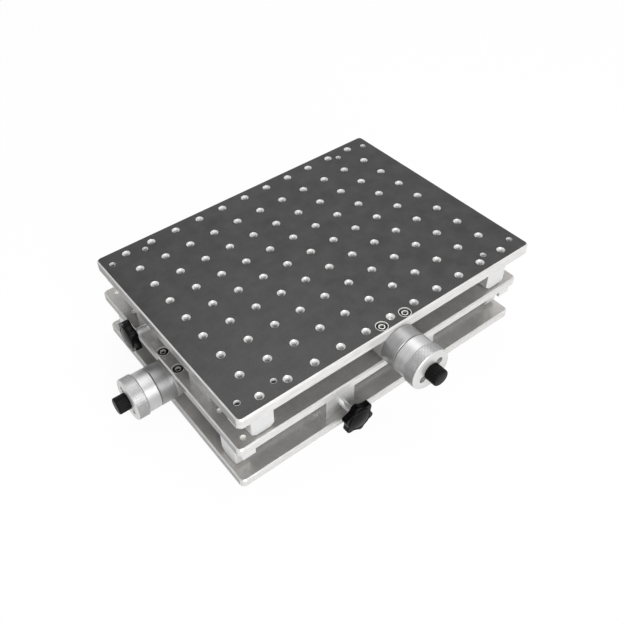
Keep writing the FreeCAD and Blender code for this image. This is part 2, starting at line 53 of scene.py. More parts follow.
MM = 0.001
UP = Vector((0, 0, 1))
DOWN = Vector((0, 0, -1))
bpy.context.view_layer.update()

# Thread, head, head height, hexagon across flats and hexagon depth of each kind of screw, in millimetres
CAP_SCREW_M5 = (5, 8.5, 5, 4, 2.8)
CAP_SCREW_M3 = (3, 5.1, 3, 2.5, 1.7)
SUNK_SCREW_M4 = (4, 8, 2, 2.5, 1.6)
SET_SCREW_M4 = (4, 4, 0, 2, 1.8)

# Radii in millimetres that the turned pieces share
BODY_RADIUS = 17.6
SPINDLE_BORE = 5.1


class Slide:
    """One of the crossed slides: the ways its handwheel and lock point, and the bodies its pieces ride on."""

    def __init__(self, prefix, outward, lock_outward, lower, upper, knob_angle):
        self.prefix = prefix
        self.outward = Vector(outward)
        self.lock_outward = Vector(lock_outward)
        self.lower = lower
        self.upper = upper
        self.plate = upper + "_plate"
        self.knob_angle = math.radians(knob_angle)

    def node(self, name):
        return self.prefix + "_" + name


SLIDES = (
    Slide("x", (-1, 0, 0), (0, -1, 0), "base", "saddle", -22),
    Slide("y", (0, -1, 0), (-1, 0, 0), "saddle", "table", -15),
)


def node_box(node):
    """The lowest and highest corner of a node."""
    low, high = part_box(node)
    return Vector(low), Vector(high)


# Colours and nodes
COORDINATES = "ShaderNodeTexCoord"
NOISE = "ShaderNodeTexNoise"
RAMP = "ShaderNodeValToRGB"
SPREAD = "ShaderNodeMapRange"
MATH = "ShaderNodeMath"
BUMP = "ShaderNodeBump"

# Nearly all of a noise lies between these values
NOISE_RANGE = {"From Min": 0.3, "From Max": 0.7}


def linear(hex_value):
    """An sRGB hex colour as linear RGBA."""
    channels = []
    for start in (1, 3, 5):
        value = int(hex_value[start:start + 2], 16) / 255
        channels.append(value / 12.92 if value <= 0.04045 else ((value + 0.055) / 1.055) ** 2.4)
    return (*channels, 1.0)


def link(tree, node, links):
    for socket, source in links.items():
        tree.links.new(source, node.inputs[socket])


def add(tree, kind, settings=None, inputs=None, links=None, stops=()):
    """Adds a node with its settings, values and links. Stops are the places and colours of a colour ramp."""
    node = tree.nodes.new(kind)
    for name, value in (settings or {}).items():
        setattr(node, name, value)
    for socket, value in (inputs or {}).items():
        node.inputs[socket].default_value = value
    for number, (place, colour) in enumerate(stops):
        elements = node.color_ramp.elements
        element = elements[number] if number < len(elements) else elements.new(place)
        element.position = place
        element.color = linear(colour)
    link(tree, node, links or {})
    return node


def new_material(name, **shader_values):
    """Starts a material. It gives the node tree and the shader."""
    material = bpy.data.materials.new(name)
    material.use_nodes = True
    tree = material.node_tree
    shader = tree.nodes["Principled BSDF"]
    for socket, value in shader_values.items():
        shader.inputs[socket.replace("_", " ")].default_value = value
    return tree, shader


def per_metre(size_mm):
    """The noise scale that gives grains of this size."""
    return 1 / (size_mm * MM)


# Finishes
def anodised_plate(name, node, dark, light, edge, gloss, metal):
    """Anodised plate: a mottled grey face with soft reflections, pale milled long edges, and end faces
    painted a darker grey as shade.
    """
    tree, shader = new_material(name)
    place = add(tree, COORDINATES).outputs["Object"]
    # A blasted grain is about 0.1 mm. It is drawn at 0.9 mm, because a finer one would not show.
    grain = add(tree, NOISE, inputs={"Scale": per_metre(0.9), "Detail": 4.0, "Roughness": 0.7},
                links={"Vector": place}).outputs["Fac"]
    # Clouds as wide as a fingertip, from handling
    cloud = add(tree, NOISE, inputs={"Scale": per_metre(12.0), "Detail": 3.0, "Roughness": 0.55},
                links={"Vector": place}).outputs["Fac"]
    part = add(tree, MATH, {"operation": "MULTIPLY"}, {1: 0.3}, {0: cloud}).outputs[0]
    mottle = add(tree, MATH, {"operation": "MULTIPLY_ADD"}, {1: 0.7}, {0: grain, 2: part}).outputs[0]
    face = add(tree, RAMP, links={"Fac": mottle}, stops=((0.38, dark), (0.62, light))).outputs["Color"]
    # The faces are told from the sides by height, and the end faces, painted darker as shade, from the long
    # edges by length
    low, high = node_box(node)
    middle, half = (low + high) / 2, (high - low) / 2
    axes = add(tree, "ShaderNodeSeparateXYZ", links={"Vector": place}).outputs
    sides = add(tree, MATH, {"operation": "COMPARE"}, {1: middle.z, 2: half.z - 0.02 * MM},
                {0: axes["Z"]}).outputs[0]
    milled = add(tree, MATH, {"operation": "COMPARE"}, {1: middle.x, 2: half.x - 0.05 * MM},
                 {0: axes["X"]}).outputs[0]
    # Cutter marks 0.5 mm apart in height that run 20 times as far along the edge
    along = add(tree, "ShaderNodeMapping", inputs={"Scale": (0.05, 0.05, 1.0)}, links={"Vector": place})
    streak = add(tree, NOISE, inputs={"Scale": per_metre(0.5)}, links={"Vector": along.outputs[0]})
    pale = add(tree, RAMP, links={"Fac": streak.outputs["Fac"]}, stops=((0.3, edge), (0.75, "#d8d7d6")))
    # The end faces get a flat darker grey, which is painted shade. The long edges keep the pale milled grain.
    side = add(tree, "ShaderNodeMix", {"data_type": "RGBA"}, {6: linear("#828281")},
               {0: milled, 7: pale.outputs["Color"]}).outputs[2]
    colour = add(tree, "ShaderNodeMix", {"data_type": "RGBA"}, links={0: sides, 6: face, 7: side})
    shine = add(tree, SPREAD, inputs={"To Min": metal, "To Max": 0.3}, links={"Value": sides})
    haze = add(tree, SPREAD, inputs={**NOISE_RANGE, "To Min": gloss * 0.9, "To Max": gloss * 1.15},
               links={"Value": cloud})
    relief = add(tree, BUMP, inputs={"Strength": 0.3, "Distance": 0.015 * MM}, links={"Height": grain})
    link(tree, shader, {"Base Color": colour.outputs[2], "Metallic": shine.outputs[0],
                        "Roughness": haze.outputs[0], "Normal": relief.outputs["Normal"]})


def milled_aluminium(name, dark, light, roughness, metal):
    """Clear-anodised milled aluminium: pale, satin, with a faint tool grain."""
    tree, shader = new_material(name, Metallic=metal, Roughness=roughness)
    place = add(tree, COORDINATES).outputs["Object"]
    # Tool marks are about 0.1 mm apart, and are drawn at 0.8 mm so that they show
    grain = add(tree, NOISE, inputs={"Scale": per_metre(0.8), "Detail": 3.0, "Roughness": 0.6},
                links={"Vector": place}).outputs["Fac"]
    colour = add(tree, RAMP, links={"Fac": grain}, stops=((0.3, dark), (0.7, light)))
    relief = add(tree, BUMP, inputs={"Strength": 0.3, "Distance": 0.01 * MM}, links={"Height": grain})
    link(tree, shader, {"Base Color": colour.outputs["Color"], "Normal": relief.outputs["Normal"]})


def tapped_aluminium(name, top_mm):
    """Freshly cut thread, painted bright where light falls in at the mouth and painted greyer further down as
    shade.
    """
    tree, shader = new_material(name, Metallic=0.25, Roughness=0.4)
    place = add(tree, COORDINATES).outputs["Object"]
    height = add(tree, "ShaderNodeSeparateXYZ", links={"Vector": place}).outputs["Z"]
    # The painted light reaches 1.5 mm down and the deepest painted shade starts 5 mm down
    depth = add(tree, SPREAD, inputs={"From Min": (top_mm - 1.5) * MM, "From Max": (top_mm - 5.0) * MM},
                links={"Value": height}).outputs[0]
    colour = add(tree, RAMP, links={"Fac": depth},
                 stops=((0.0, "#f6f6f6"), (0.35, "#e4e4e4"), (1.0, "#bcbcbc")))
    link(tree, shader, {"Base Color": colour.outputs["Color"]})


def turned_aluminium(name, dark, light, roughness):
    """Aluminium turned in a lathe: satin, with very fine rings that stretch highlights along the axis."""
    tree, shader = new_material(name, Metallic=0.6)
    run = add(tree, "ShaderNodeUVMap", {"uv_map": "turning"}).outputs[0]
    # Rings of a 0.15 mm feed, drawn at 0.7 mm so that they show, and 100 times as long round the axis
    stretch = add(tree, "ShaderNodeMapping", inputs={"Scale": (1.0, 0.01, 1.0)}, links={"Vector": run})
    rings = add(tree, NOISE, inputs={"Scale": per_metre(0.7)},
                links={"Vector": stretch.outputs[0]}).outputs["Fac"]
    colour = add(tree, RAMP, links={"Fac": rings}, stops=((0.25, dark), (0.75, light)))
    haze = add(tree, SPREAD, inputs={**NOISE_RANGE, "To Min": roughness * 0.9, "To Max": roughness * 1.15},
               links={"Value": rings})
    relief = add(tree, BUMP, inputs={"Strength": 0.25, "Distance": 0.003 * MM}, links={"Height": rings})
    link(tree, shader, {"Base Color": colour.outputs["Color"], "Roughness": haze.outputs[0],
                        "Normal": relief.outputs["Normal"]})


def knurled_aluminium(name, dark, light, low_mm, high_mm):
    """Rolled knurl on a turned wheel: crests painted bright as highlight over hollows painted darker as
    shade, and a satin turned face.
    """
    tree, shader = new_material(name, Metallic=0.6, Roughness=0.36)
    place = add(tree, COORDINATES).outputs["Object"]
    depth = add(tree, "ShaderNodeAttribute", {"attribute_name": "hollow"}).outputs["Fac"]
    # Wear that differs from one diamond to the next
    wear = add(tree, NOISE, inputs={"Scale": per_metre(1.7)}, links={"Vector": place}).outputs["Fac"]
    change = add(tree, SPREAD, inputs={**NOISE_RANGE, "To Min": -0.02, "To Max": 0.02}, links={"Value": wear})
    level = add(tree, MATH, {"operation": "ADD"}, links={0: change.outputs[0], 1: depth}).outputs[0]
    # Colour by depth: painted highlight on the crests, painted shade in the hollows.
    colour = add(tree, RAMP, links={"Fac": level}, stops=((low_mm, light), (high_mm, dark)))
    link(tree, shader, {"Base Color": colour.outputs["Color"]})


def polished_steel(name, colour, roughness, metal=1.0):
    """Ground and polished steel: near-mirror with hardly any grain."""
    tree, shader = new_material(name, Base_Color=linear(colour), Metallic=metal, Roughness=roughness)
    place = add(tree, COORDINATES).outputs["Object"]
    # Wiping marks about 2.5 mm wide
    wiped = add(tree, NOISE, inputs={"Scale": per_metre(2.5)}, links={"Vector": place}).outputs["Fac"]
    haze = add(tree, SPREAD, inputs={**NOISE_RANGE, "To Min": roughness * 0.8, "To Max": roughness * 1.3},
               links={"Value": wiped})
    link(tree, shader, {"Roughness": haze.outputs[0]})


def black_oxide_steel(name):
    """Blackened alloy steel of a set screw: near black, with a soft oily sheen."""
    tree, shader = new_material(name, Metallic=0.6, Roughness=0.32)
    place = add(tree, COORDINATES).outputs["Object"]
    # Patches of the oxide, 0.7 mm wide
    haze = add(tree, NOISE, inputs={"Scale": per_metre(0.7)}, links={"Vector": place}).outputs["Fac"]
    colour = add(tree, RAMP, links={"Fac": haze}, stops=((0.3, "#17181a"), (0.7, "#2c2d30")))
    link(tree, shader, {"Base Color": colour.outputs["Color"]})


def worn_socket_steel_with_painted_light(name, bare_and_lit_mm):
    """A blackened socket screw, black at its rim. The ring round the socket is partly rubbed bright and
    partly a painted highlight, and the socket floor is painted dark as shade.
    """
    tree, shader = new_material(name, Metallic=0.5, Roughness=0.24)
    run = add(tree, "ShaderNodeUVMap", {"uv_map": "turning"}).outputs[0]
    along = add(tree, "ShaderNodeSeparateXYZ", links={"Vector": run}).outputs["X"]
    # The share of the way from the socket's floor to the end of the bright ring
    share = add(tree, MATH, {"operation": "DIVIDE"}, {1: bare_and_lit_mm * MM}, {0: along}).outputs[0]
    # Up to 0.45 the socket's floor and lower wall are painted dark as shade. From 0.6 to 0.97 the upper wall
    # and lip are painted bright, partly rubbed metal and partly highlight. The rim is black.
    colour = add(tree, RAMP, links={"Fac": share},
                 stops=((0.45, "#2b2a29"), (0.6, "#e2dfdc"), (0.97, "#e2dfdc"), (1.0, "#0c0c0d")))
    link(tree, shader, {"Base Color": colour.outputs["Color"]})


def moulded_black(name, roughness, dark, light):
    """Black glass-filled nylon, moulded: deep black with a soft gloss and a very fine texture."""
    tree, shader = new_material(name, Roughness=roughness, Specular_IOR_Level=0.1)
    place = add(tree, COORDINATES).outputs["Object"]
    # The mould's texture is about 0.1 mm, and is drawn at 0.5 mm so that it shows
    grain = add(tree, NOISE, inputs={"Scale": per_metre(0.5)}, links={"Vector": place}).outputs["Fac"]
    colour = add(tree, RAMP, links={"Fac": grain}, stops=((0.3, dark), (0.7, light)))
    relief = add(tree, BUMP, inputs={"Strength": 0.2, "Distance": 0.02 * MM}, links={"Height": grain})
    link(tree, shader, {"Base Color": colour.outputs["Color"], "Normal": relief.outputs["Normal"]})


def bronze(name, dark, light):
    """Bearing bronze or brass: warm yellow-brown metal with a dull machined face."""
    tree, shader = new_material(name, Metallic=1.0, Roughness=0.35)
    place = add(tree, COORDINATES).outputs["Object"]
    # Tool marks are about 0.1 mm apart, and are drawn at 0.8 mm so that they show
    grain = add(tree, NOISE, inputs={"Scale": per_metre(0.8), "Detail": 3.0, "Roughness": 0.6},
                links={"Vector": place}).outputs["Fac"]
    colour = add(tree, RAMP, links={"Fac": grain}, stops=((0.3, dark), (0.7, light)))
    link(tree, shader, {"Base Color": colour.outputs["Color"]})


def finish(name):
    return bpy.data.materials[name]


# Meshes
def plain_object(name, mesh):
    """An object in the scene that holds a mesh."""
    plain = bpy.data.objects.new(name, mesh)
    bpy.context.scene.collection.objects.link(plain)
    return plain


def adopt(mesh, name, body, material, replaces=(), sharp_degrees=35):
    """Makes a finished mesh one of the object's pieces."""
    mesh.validate()
    mesh.shade_smooth()
    mesh.set_sharp_from_angle(angle=math.radians(sharp_degrees))
    mesh.materials.clear()
    mesh.materials.append(material)
    piece = plain_object(name, mesh)
    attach(piece, body)
    if replaces:
        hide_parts(*replaces)


def dress(node, material):
    """Gives a CAD node its finish."""
    mesh = NODES[node].data
    mesh.materials.clear()
    mesh.materials.append(material)


def axis_frame(node, outward):
    """A place at a node's inner end, with local X along outward and local Z up, and its length in mm."""
    low, high = node_box(node)
    reach = abs((high - low).dot(outward)) / 2
    turn = Matrix((outward, UP.cross(outward), UP)).transposed().to_4x4()
    return Matrix.Translation((low + high) / 2 - outward * reach) @ turn, 2 * reach / MM


def turned_mesh(name, profile, place=Matrix(), segments=96, wave=None):
    """Revolves (distance, radius) points in millimetres about local X. Radius 0 closes an end.

    The wave gives the change of the radius at a distance, radius and angle."""
    verts, faces, uvs, hollows, rings = [], [], [], [], []
    run = 0.0
    previous = profile[0]
    for distance, radius in profile:
        run += math.dist((distance, radius), previous)
        previous = (distance, radius)
        ring = []
        for step in range(segments if radius > 0 else 1):
            angle = 2 * math.pi * step / segments
            change = wave(distance, radius, angle) if wave else 0
            reach = (radius + change) * MM
            ring.append(len(verts))
            verts.append(place @ Vector((distance * MM, reach * math.cos(angle), reach * math.sin(angle))))
            uvs.append((run * MM, angle * radius * MM))
            hollows.append(-change)
        rings.append(ring)
    for first, second in zip(rings, rings[1:]):
        for step in range(segments):
            after = (step + 1) % segments
            corners = (first[step % len(first)], second[step % len(second)], second[after % len(second)],
                       first[after % len(first)])
            faces.append(tuple(dict.fromkeys(corners)))
    return outward_mesh(name, verts, [face for face in faces if len(face) > 2], uvs, hollows)


def outward_mesh(name, verts, faces, uvs=None, hollows=None):
    """A closed mesh whose faces all point outwards."""
    mesh = bpy.data.meshes.new(name)
    mesh.from_pydata([tuple(v) for v in verts], [], faces)
    if uvs:
        layer = mesh.uv_layers.new(name="turning")
        for loop in mesh.loops:
            layer.data[loop.index].uv = uvs[loop.vertex_index]
    if hollows:
        mesh.attributes.new("hollow", "FLOAT", "POINT").data.foreach_set("value", hollows)
    work = bmesh.new()
    work.from_mesh(mesh)
    bmesh.ops.recalc_face_normals(work, faces=work.faces)
    work.to_mesh(mesh)
    work.free()
    return mesh


def turned_piece(name, profile, place, body, material, replaces, segments, wave=None, sharp_degrees=35):
    mesh = turned_mesh(name, profile, place, segments, wave)
    adopt(mesh, name, body, material, replaces, sharp_degrees)


def applied_mesh(helper):
    """The mesh that an object's modifiers give. The object is removed."""
    bpy.context.view_layer.update()
    ready = helper.evaluated_get(bpy.context.evaluated_depsgraph_get())
    mesh = bpy.data.meshes.new_from_object(ready)
    bpy.data.objects.remove(helper)
    return mesh


def cut_holes(mesh, cutters):
    """Takes the cutters' meshes away from a mesh, as drills and counterbores do."""
    helper = plain_object("being_drilled", mesh)
    tools = []
    for cutter in cutters:
        tools.append(plain_object("drill", cutter))
        change = helper.modifiers.new("drilled", "BOOLEAN")
        change.operation = "DIFFERENCE"
        change.solver = "EXACT"
        change.object = tools[-1]
    drilled = applied_mesh(helper)
    for tool in tools:
        bpy.data.objects.remove(tool)
    return drilled


# Repeated pieces: one shape on every point, by Geometry Nodes
def repeat_tree():
    """The node tree that puts a shape on every point, turned the way that the point faces."""
    name = "repeat along facing"
    if name in bpy.data.node_groups:
        return bpy.data.node_groups[name]
    tree = bpy.data.node_groups.new(name, "GeometryNodeTree")
    for socket, kind in (("Points", "Geometry"), ("Shape", "Object"), ("Size", "Float"),
                         ("Material", "Material")):
        tree.interface.new_socket(socket, in_out="INPUT", socket_type="NodeSocket" + kind)
    tree.interface.new_socket("Copies", in_out="OUTPUT", socket_type="NodeSocketGeometry")
    given = add(tree, "NodeGroupInput").outputs
    facing = add(tree, "GeometryNodeInputNamedAttribute", {"data_type": "FLOAT_VECTOR"}, {"Name": "facing"})
    turn = add(tree, "FunctionNodeAlignRotationToVector", {"axis": "X"}, links={"Vector": facing.outputs[0]})
    shape = add(tree, "GeometryNodeObjectInfo", links={"Object": given["Shape"]})
    copies = add(tree, "GeometryNodeInstanceOnPoints",
                 links={"Points": given["Points"], "Instance": shape.outputs["Geometry"],
                        "Rotation": turn.outputs[0], "Scale": given["Size"]})
    real = add(tree, "GeometryNodeRealizeInstances", links={"Geometry": copies.outputs[0]})
    coloured = add(tree, "GeometryNodeSetMaterial",
                   links={"Geometry": real.outputs[0], "Material": given["Material"]})
    add(tree, "NodeGroupOutput", links={"Copies": coloured.outputs[0]})
    return tree


def repeated_mesh(name, shape, places, material, size=1.0):
    """One mesh of a shape at each place, a start point and the way its local X faces there."""
    points = bpy.data.meshes.new(name + "_points")
    points.from_pydata([tuple(start) for start, facing in places], [], [])
    ways = points.attributes.new("facing", "FLOAT_VECTOR", "POINT")
    for value, (start, facing) in zip(ways.data, places):
        value.vector = facing
    pattern = plain_object(name + "_shape", shape)
    helper = plain_object(name + "_points", points)
    change = helper.modifiers.new("repeat", "NODES")
    change.node_group = repeat_tree()
    sockets = {item.name: item.identifier for item in change.node_group.interface.items_tree}
    change[sockets["Shape"]] = pattern
    change[sockets["Size"]] = size
    change[sockets["Material"]] = material
    mesh = applied_mesh(helper)
    bpy.data.objects.remove(pattern)
    return mesh


def solids(node):
    """The lowest and highest corner of each separate solid of a node."""
    work = bmesh.new()
    work.from_mesh(NODES[node].data)
    bmesh.ops.remove_doubles(work, verts=work.verts, dist=0.001 * MM)
    found = []
    seen = set()
    for first in work.verts:
        if first in seen:
            continue
        seen.add(first)
        waiting, members = [first], []
        while waiting:
            vert = waiting.pop()
            members.append(vert.co.copy())
            for edge in vert.link_edges:
                other = edge.other_vert(vert)
                if other not in seen:
                    seen.add(other)
                    waiting.append(other)
        found.append((Vector(min(place) for place in zip(*members)),
                      Vector(max(place) for place in zip(*members))))
    work.free()
    return found


def head_places(node, inward):
    """Where each screw of a node starts at its head and its way in, and the first one's length in mm."""
    places, lengths = [], []
    for low, high in solids(node):
        centre = (low + high) / 2
        way = Vector(inward(centre))
        lengths.append(abs((high - low).dot(way)))
        places.append((centre - way * lengths[-1] / 2, way))
    return places, lengths[0] / MM


def hexagonal(flats):
    """A wave that makes a round socket a hexagon."""
    def wave(distance, radius, angle):
        if abs(radius - flats / 2) > 1e-6:
            return 0
        from_flat = (angle + math.pi / 6) % (math.pi / 3) - math.pi / 6
        return radius / math.cos(from_flat) - radius
    return wave


def socket_screw(size, length, sunk):
    """A screw with a hexagon socket, head first along local X, in millimetres."""
    thread, head, head_height, flats, depth = size
    socket = flats / 2
    shank = thread / 2
    rounding = head_height * 0.1
    point = 0.5
    profile = [(depth + socket * 0.3, 0), (depth, socket * 0.98), (depth - 0.02, socket), (0, socket)]
    if sunk:
        profile += [(0, head / 2 - 0.1), (0.15, head / 2), (head_height, shank)]
    elif head > thread:
        profile += [(0, head / 2 - rounding), (rounding * 0.35, head / 2 - rounding * 0.35),
                    (rounding, head / 2), (head_height, head / 2), (head_height, shank)]
    else:
        profile += [(0, shank - 0.3), (0.3, shank)]
    profile += [(length - point, shank), (length, shank - point), (length, 0)]
    return turned_mesh("socket_screw", profile, segments=24, wave=hexagonal(flats))


# Sizes and colours that a user would change
def colour_setting(name, description, value):
    return bpy.props.StringProperty(name=name, description=description, default=value)


def share_setting(name, description, value):
    return bpy.props.FloatProperty(name=name, description=description, default=value, min=0.0, max=1.0,
                                   subtype="FACTOR")


def length_setting(name, description, value, least):
    return bpy.props.FloatProperty(name=name, description=description, default=value, min=least,
                                   precision=4, unit="LENGTH")


def power_setting(name, description, value):
    return bpy.props.FloatProperty(name=name, description=description, default=value, min=0.0, unit="POWER")


class TABLE_PG_plates(bpy.types.PropertyGroup):
    """Colours and gloss of the three plates, and the pitch of the tapped grid"""
    # The table's dark grain is painted shade, for the dark ceiling that its face reflects. The lower plates'
    # grain is painted much paler, as light, to brighten them under the plates above.
    table_dark: colour_setting("Table dark", "Darker grain of the table plate", "#2a2a2a")
    table_light: colour_setting("Table light", "Lighter grain of the table plate", "#404040")
    lower_dark: colour_setting("Lower dark", "Darker grain of the lower plates", "#9f9e9b")
    lower_light: colour_setting("Lower light", "Lighter grain of the lower plates", "#bab8b5")
    edge: colour_setting("Edge", "Milled edge of the plates", "#bcbbba")
    table_gloss: share_setting("Table gloss", "Roughness of the table's face", 0.36)
    lower_gloss: share_setting("Lower gloss", "Roughness of the lower plates' faces", 0.24)
    table_metal: share_setting("Table metal", "Metallic share of the table's face", 0.6)
    lower_metal: share_setting("Lower metal", "Metallic share of the lower plates", 0.4)
    hole_pitch: length_setting("Hole pitch", "Pitch of the table's tapped grid", 25 * MM, 10 * MM)


class TABLE_PG_wheels(bpy.types.PropertyGroup):
    """Grip of the handwheels and their end knobs"""
    # A real knurl has a pitch of about 1 mm. It is drawn at 1.6 mm, because a finer one would not show.
    knurl_pitch: length_setting("Knurl pitch", "Width of one diamond of the knurl", 1.6 * MM, 0.5 * MM)
    knurl_depth: length_setting("Knurl depth", "Depth of the knurl", 0.4 * MM, 0.05 * MM)
    flutes: bpy.props.IntProperty(name="Flutes", description="Flutes round the end knob", default=20, min=6)


class TABLE_PG_locks(bpy.types.PropertyGroup):
    """Shape of the star knobs"""
    lobes: bpy.props.IntProperty(name="Lobes", description="Lobes of the star knob", default=6, min=3)


class TABLE_PG_stage(bpy.types.PropertyGroup):
    """Floor and lights"""
    floor_colour: colour_setting("Floor", "Colour of the studio floor", "#fafafa")
    key_power: power_setting("Key light", "Power of the large front light", 22.0)
    fill_power: power_setting("Fill light", "Power of the light overhead", 12.0)
    surround: bpy.props.FloatProperty(name="Surround", description="Strength of the light from all round",
                                      default=0.40, min=0.0)


# Operators: one for each piece or group of like pieces
class TABLE_OT_finishes(bpy.types.Operator):
    """Makes the object's finishes and puts them on the pieces from model.glb"""
    bl_idname = "slidetable.finishes"
    bl_label = "Finishes"

    def execute(self, context):
        look = context.scene.slide_plates
        lower = (look.lower_dark, look.lower_light, look.edge, look.lower_gloss, look.lower_metal)
        upper = (look.table_dark, look.table_light, look.edge, look.table_gloss, look.table_metal)
        # The table gets the dark colours, which are painted shade. The saddle and base get the pale ones,
        # which are painted light.
        for plate, values in (("table", upper), ("saddle", lower), ("base", lower)):
            name = plate + " anodised face"
            anodised_plate(name, plate + "_plate", *values)
            dress(plate + "_plate", finish(name))
        milled_aluminium("support aluminium", "#cecece", "#e0e0e0", 0.4, 0.6)
        milled_aluminium("block aluminium", "#bcbcbc", "#d0d0d0", 0.36, 0.7)
        # Near white and hardly metallic. This is partly bare cut metal and partly painted light on the
        # counterbore chamfers and in the fixing holes.
        milled_aluminium("bare aluminium rim with painted light", "#e8e8e8", "#f8f8f8", 0.4, 0.25)
        tapped_aluminium("tapped aluminium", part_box("table_plate")[1][2] / MM)
        turned_aluminium("housing aluminium", "#868686", "#989898", 0.34)
        turned_aluminium("drum aluminium", "#aeaeae", "#c2c2c2", 0.36)
        turned_aluminium("wheel face aluminium", "#c4c4c3", "#d6d6d5", 0.4)
        knurled_aluminium("knurled aluminium", "#6a6a6a", "#e8e8e8", 0.04, 0.37)
        polished_steel("guide shaft steel", "#d4d6d9", 0.08)
        polished_steel("lead screw steel", "#a0a2a5", 0.22)
        polished_steel("bearing steel", "#b4b6b8", 0.2)
        polished_steel("screw zinc", "#c9cbce", 0.2)
        polished_steel("stud steel", "#f0f0f0", 0.2, 0.65)
        # Near white and hardly metallic. This is partly the screw's zinc plating and partly painted light on
        # the screw ends down in the saddle's shaded fixing holes.
        polished_steel("pale screw end", "#f2efe6", 0.35, 0.2)
        black_oxide_steel("blackened screw")
        worn_socket_steel_with_painted_light("worn socket screw with painted light", 5.5)
        moulded_black("knob nylon", 0.3, "#010102", "#040405")
        moulded_black("end knob nylon", 0.4, "#020203", "#060607")
        bronze("nut bronze", "#8f6b35", "#b98f4c")
        bronze("pad brass", "#a5823f", "#cfa95c")
        for part, material in (("shaft_support", "support aluminium"), ("bearing_block", "block aluminium"),
                               ("lock_block", "block aluminium"), ("linear_bearings", "bearing steel"),
                               ("ball_bearings", "bearing steel"), ("bearing_retainer", "blackened screw"),
                               ("nut_block", "nut bronze"), ("lock_pad", "pad brass")):
            for node in NODES:
                if part in node:
                    dress(node, finish(material))
        return {"FINISHED"}


class TABLE_OT_threads(bpy.types.Operator):
    """Makes the threads of the tapped grid and the bare metal round the plates' screws, painted near white as
    light
    """
    bl_idname = "slidetable.threads"
    bl_label = "Tapped holes"

    def execute(self, context):
        low, high = node_box("table_plate")
        pitch = context.scene.slide_plates.hole_pitch
        centre = (low + high) / 2
        # The grid keeps this far from the plate's edges
        margin = 9 * MM
        columns = math.floor(((high.x - low.x) / 2 - margin) / pitch)
        rows = math.floor(((high.y - low.y) / 2 - margin) / pitch)
        # The threads start below the holes' countersinks
        mouth = high.z - 1.15 * MM
        places = [(Vector((centre.x + column * pitch, centre.y + row * pitch, mouth)), DOWN)
                  for column in range(-columns, columns + 1) for row in range(-rows, rows + 1)]
        # A sleeve of 5.5 mm whose inside has crests and hollows every 1 mm, the pitch of an M6 thread
        crest, hollow, wall = 2.38, 2.47, 2.52
        profile = [(step * 0.5, crest if step % 2 else hollow) for step in range(12)]
        profile += [(5.5, wall), (0, wall), (0, hollow)]
        shape = turned_mesh("tapped_wall", profile, segments=16)
        mesh = repeated_mesh("tapped_walls", shape, places, finish("tapped aluminium"))
        adopt(mesh, "table_tapped_walls", "table", finish("tapped aluminium"))
        for slide in SLIDES:
            self.bare_metal_with_painted_light(slide, "housing_screws", "counterbore_rims", 0.05,
                            ((0, 4.86), (0, 5.2), (0.062, 5.2), (0.065, 4.86), (0, 4.86)))
            self.bare_metal_with_painted_light(slide, "support_screws", "fixing_hole_walls", 2.65,
                            ((0, 2.42), (0, 2.53), (2.55, 2.53), (2.6, 2.42), (0, 2.42)))
        return {"FINISHED"}

    def bare_metal_with_painted_light(self, slide, screws, name, depth, profile):
        """A thin ring of cut metal round each screw, from a depth below the plate's face upwards. It is
        partly bare metal and partly painted light.
        """
        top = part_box(slide.plate)[1][2]
        places = [(Vector((start.x, start.y, top - depth * MM)), UP)
                  for start, way in head_places(slide.node(screws), lambda centre: UP)[0]]
        shape = turned_mesh("rim", profile, segments=32)
        mesh = repeated_mesh("rims", shape, places, finish("bare aluminium rim with painted light"))
        adopt(mesh, slide.upper + "_" + name, slide.upper, finish("bare aluminium rim with painted light"))


class TABLE_OT_guides(bpy.types.Operator):
    """Makes the polished guide shafts"""
    bl_idname = "slidetable.guides"
    bl_label = "Guide shafts"

    def execute(self, context):
        radius, chamfer = 4.0, 0.5
        for slide in SLIDES:
            for side in (("front", "rear") if slide.prefix == "x" else ("left", "right")):
                node = slide.node("shaft_" + side)
                place, length = axis_frame(node, slide.outward)
                profile = [(0, 0), (0, radius - chamfer), (chamfer, radius), (length - chamfer, radius),
                           (length, radius - chamfer), (length, 0)]
                turned_piece(node.replace("shaft", "guide_shaft"), profile, place, slide.upper,
                             finish("guide shaft steel"), (node,), 64)
        return {"FINISHED"}


class TABLE_OT_screws(bpy.types.Operator):
    """Makes the socket screws of every kind"""
    bl_idname = "slidetable.screws"
    bl_label = "Screws"

    def execute(self, context):
        for slide in SLIDES:
            inward = -slide.outward
            across = slide.lock_outward
            low, high = node_box(slide.plate)

            def to_middle(centre):
                return -across if (centre - (low + high) / 2).dot(across) > 0 else across

            self.fit(slide.node("housing_screws"), lambda centre: DOWN, slide.upper, "bright_screw",
                     "worn socket screw with painted light", CAP_SCREW_M5)
            # The saddle's screw ends are painted near white, partly plating and partly painted light.
            plating = "blackened screw" if slide.prefix == "y" else "pale screw end"
            self.fit(slide.node("support_screws"), lambda centre: UP, slide.upper, "black_screw",
                     plating, CAP_SCREW_M5)
            self.fit(slide.node("wheel_screws"), lambda centre: inward, slide.node("handwheel"),
                     "bright_screw", "blackened screw", CAP_SCREW_M3, sink=1.5)
            self.fit(slide.node("block_screws"), lambda centre: UP, slide.lower, "steel_screw",
                     "screw zinc", SUNK_SCREW_M4, sunk=True)
            self.fit(slide.node("support_grub_screws"), to_middle, slide.upper, "black_screw",
                     "blackened screw", SET_SCREW_M4)
        return {"FINISHED"}

    def fit(self, node, inward, body, slot, material, size, sunk=False, sink=0.0):
        """Replaces a node of screws. They sit deeper than the node's by sink, in millimetres."""
        places, length = head_places(node, inward)
        places = [(start + way * sink * MM, way) for start, way in places]
        mesh = repeated_mesh(node, socket_screw(size, length - sink, sunk), places, finish(material))
        adopt(mesh, node.replace("screws", "socket_screws"), body, finish(material), (node,))


